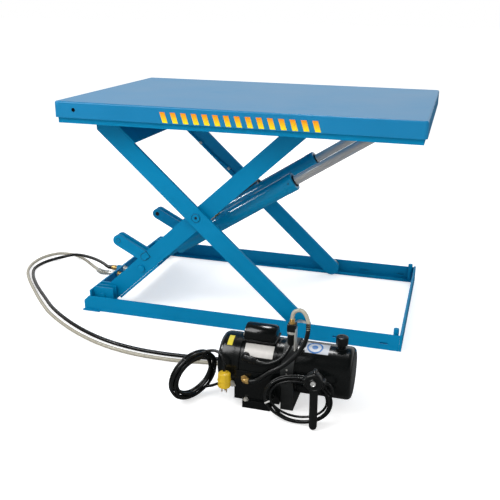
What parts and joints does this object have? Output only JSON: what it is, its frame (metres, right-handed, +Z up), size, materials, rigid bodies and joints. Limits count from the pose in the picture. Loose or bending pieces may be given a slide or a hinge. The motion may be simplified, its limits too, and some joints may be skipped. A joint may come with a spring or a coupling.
{
  "type": "scissor lift table",
  "caption": "Electro-hydraulic scissor lift table: twin-cylinder scissor legs on a floor frame raise a level rectangular platform; separate floor power unit with hoses, pendant and mains lead.",
  "frame": {"origin": "On the floor, under the middle of the box of the table and its power unit, without the loose hoses and cords", "axes": "+X runs along the platform from the fixed hinge end to the roller end, +Y from the power unit across the platform to its far side, +Z up"},
  "size_m": [1.6407, 1.312, 0.7778],
  "materials": {
    "blue_paint": "semi-gloss enamel",
    "bright_steel": "turned",
    "chrome": "polished",
    "brass": "machined",
    "black_enamel": "gloss enamel",
    "cast_metal": "as cast, machined faces",
    "black_plastic": "matt",
    "black_rubber": "satin",
    "clear_hose": "translucent, glossy",
    "yellow_plastic": "gloss"
  },
  "bodies": {
    "base": {"rail_front": "blue_paint", "rail_rear": "blue_paint", "hinge_pin_front": "bright_steel", "hinge_pin_rear": "bright_steel", "hinge_beam": "blue_paint", "end_bar": "blue_paint", "bulkhead_fittings": "brass", "motor_shell": "black_enamel", "motor_end_bell": "black_enamel", "capacitor_box": "black_enamel", "pump_flange": "cast_metal", "gear_pump": "cast_metal", "tank": "black_enamel", "base_block": "black_enamel", "elbow": "brass", "valve_coil": "black_plastic", "motor_lead": "black_rubber", "return_jumper": "black_rubber", "pendant": "black_plastic", "hydraulic_hose": "black_rubber", "drain_hose": "clear_hose", "mains_lead": "black_rubber", "mains_tail": "black_rubber", "mains_coil": "black_rubber", "plug": "yellow_plastic", "pendant_lead": "black_rubber", "pendant_coil": "black_rubber"},
    "inner_legs": {"inner_leg_front": "blue_paint", "inner_leg_rear": "blue_paint", "lower_plate": "blue_paint", "cylinder_shaft": "bright_steel", "stop_arm_front": "blue_paint", "stop_arm_rear": "blue_paint", "centre_pin_front": "bright_steel", "centre_pin_rear": "bright_steel"},
    "outer_legs": {"outer_leg_front": "blue_paint", "outer_leg_rear": "blue_paint", "upper_plate": "blue_paint"},
    "platform": {"deck_pan": "blue_paint", "toe_frame": "blue_paint", "deck_track_front": "blue_paint", "deck_track_rear": "blue_paint", "deck_hinge_front": "blue_paint", "deck_hinge_rear": "blue_paint", "rod_anchor_front": "blue_paint", "rod_anchor_rear": "blue_paint"},
    "barrels": {"barrel_front": "blue_paint", "barrel_rear": "blue_paint", "gland_front": "blue_paint", "gland_rear": "blue_paint", "link_hose": "black_rubber"},
    "rods": {"rod_front": "chrome", "rod_rear": "chrome"},
    "rotor": {"motor_rotor": "bright_steel"},
    "cap": {"filler_cap": "black_plastic"},
    "button": {"pendant_button": "chrome"},
    "base_roller_front": {"base_roller_front": "bright_steel"},
    "base_roller_rear": {"base_roller_rear": "bright_steel"},
    "deck_roller_front": {"deck_roller_front": "bright_steel"},
    "deck_roller_rear": {"deck_roller_rear": "bright_steel"}
  },
  "joints": [
    {"name": "lift_angle", "type": "hinge", "parent": "base", "child": "inner_legs", "pos_m": [-0.5156, 0.2485, 0.052], "axis": [0, 1, 0], "range_deg": [0, 33.3]},
    {"name": "centre_pivot", "type": "hinge", "parent": "inner_legs", "child": "outer_legs", "pos_m": [-0.1489, 0.2485, 0.3858], "axis": [0, 1, 0], "range_deg": [-65.1, 0]},
    {"name": "platform_hinge", "type": "hinge", "parent": "outer_legs", "child": "platform", "pos_m": [-0.52806, 0.2485, 0.73223], "axis": [0, 1, 0], "range_deg": [0, 31.8]},
    {"name": "cylinder_foot", "type": "hinge", "parent": "inner_legs", "child": "barrels", "pos_m": [-0.3716, 0.2485, 0.1663], "axis": [0, 1, 0], "range_deg": [-11.6, 0]},
    {"name": "rod_slide", "type": "slide", "parent": "barrels", "child": "rods", "axis": [0.8406, 0, 0.5417], "range_m": [-0.1955, 0]},
    {"name": "base_roller_front_spin", "type": "hinge", "parent": "outer_legs", "child": "base_roller_front", "pos_m": [0.238, -0.0759, 0.0323], "axis": [0, 1, 0], "range_deg": [0, 587]},
    {"name": "base_roller_rear_spin", "type": "hinge", "parent": "outer_legs", "child": "base_roller_rear", "pos_m": [0.238, 0.5729, 0.0323], "axis": [0, 1, 0], "range_deg": [0, 587]},
    {"name": "deck_roller_front_spin", "type": "hinge", "parent": "inner_legs", "child": "deck_roller_front", "pos_m": [0.21047, -0.0459, 0.71292], "axis": [0, 1, 0], "range_deg": [-633, 0]},
    {"name": "deck_roller_rear_spin", "type": "hinge", "parent": "inner_legs", "child": "deck_roller_rear", "pos_m": [0.21047, 0.5429, 0.71292], "axis": [0, 1, 0], "range_deg": [-633, 0]},
    {"name": "rotor_spin", "type": "hinge", "parent": "base", "child": "rotor", "pos_m": [0.1904, -0.4939, 0.112], "axis": [1, 0, 0], "continuous": true},
    {"name": "filler_turn", "type": "hinge", "parent": "base", "child": "cap", "pos_m": [0.4404, -0.4939, 0.21], "axis": [0, 0, 1], "range_deg": [0, 90]},
    {"name": "button_press", "type": "slide", "parent": "base", "child": "button", "axis": [0, 1, 0], "range_m": [0, 0.003], "stiffness_N_per_m": 600}
  ],
  "couplings": [
    {"joint": "centre_pivot", "follows": "lift_angle", "ratio": -1.9523},
    {"joint": "platform_hinge", "follows": "lift_angle", "ratio": 0.95226},
    {"joint": "cylinder_foot", "follows": "lift_angle", "ratio": -0.34416},
    {"joint": "rod_slide", "follows": "lift_angle", "m_per_rad": -0.33486},
    {"joint": "base_roller_front_spin", "follows": "lift_angle", "ratio": 17.57},
    {"joint": "base_roller_rear_spin", "follows": "lift_angle", "ratio": 17.57},
    {"joint": "deck_roller_front_spin", "follows": "lift_angle", "ratio": -18.941},
    {"joint": "deck_roller_rear_spin", "follows": "lift_angle", "ratio": -18.941}
  ]
}
